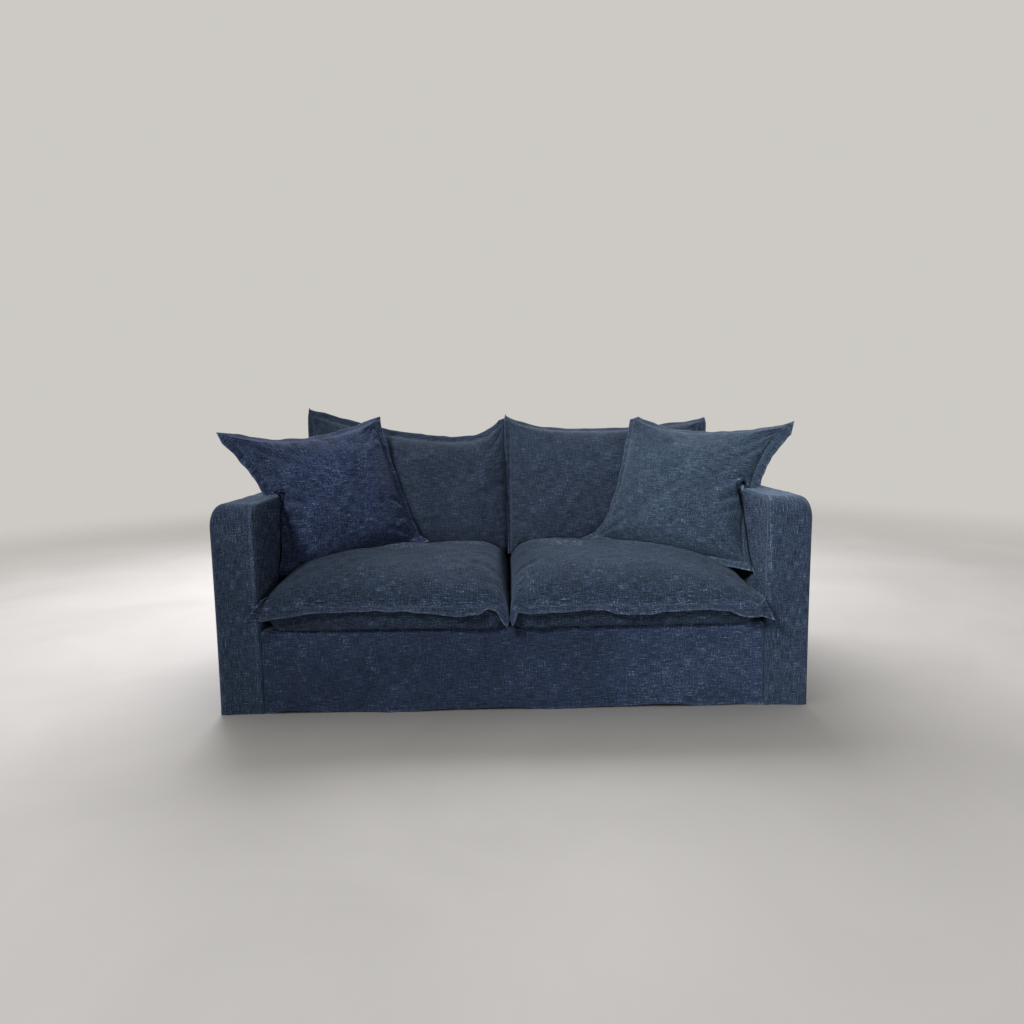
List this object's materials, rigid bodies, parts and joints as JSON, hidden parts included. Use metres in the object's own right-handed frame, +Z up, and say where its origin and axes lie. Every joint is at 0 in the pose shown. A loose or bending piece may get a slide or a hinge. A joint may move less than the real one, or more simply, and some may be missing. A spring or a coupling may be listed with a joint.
{
  "type": "sofa slipcover",
  "caption": "Fitted linen slipcover for a two-seat sofa, open underneath, with flanged feather seat, back and scatter cushions lying on it.",
  "frame": {"origin": "on the floor, under the middle of the whole piece", "axes": "+Z up, the front faces -Y, +X to the right as seen from the front"},
  "size_m": [1.9996, 0.9996, 0.968],
  "materials": {
    "band_cloth": "stone-washed slub linen, matt",
    "panel_cloth": "stone-washed slub linen, matt",
    "seat_cloth": "stone-washed slub linen, matt",
    "back_cloth": "stone-washed slub linen, matt",
    "dark_scatter_cloth": "stone-washed slub linen, matt",
    "light_scatter_cloth": "stone-washed slub linen, matt"
  },
  "bodies": {
    "root": {"arm_band_left": "band_cloth", "arm_band_right": "band_cloth", "inside_arm_left": "panel_cloth", "inside_arm_right": "panel_cloth", "outside_arm_left": "panel_cloth", "outside_arm_right": "panel_cloth", "front_panel": "panel_cloth", "deck_panel": "panel_cloth", "inside_back": "panel_cloth", "back_band": "band_cloth", "outside_back": "panel_cloth", "seat_cushion_left": "seat_cloth", "seat_cushion_right": "seat_cloth", "back_cushion_left": "back_cloth", "back_cushion_right": "back_cloth", "scatter_cushion_left": "dark_scatter_cloth", "scatter_cushion_right": "light_scatter_cloth"}
  },
  "joints": []
}
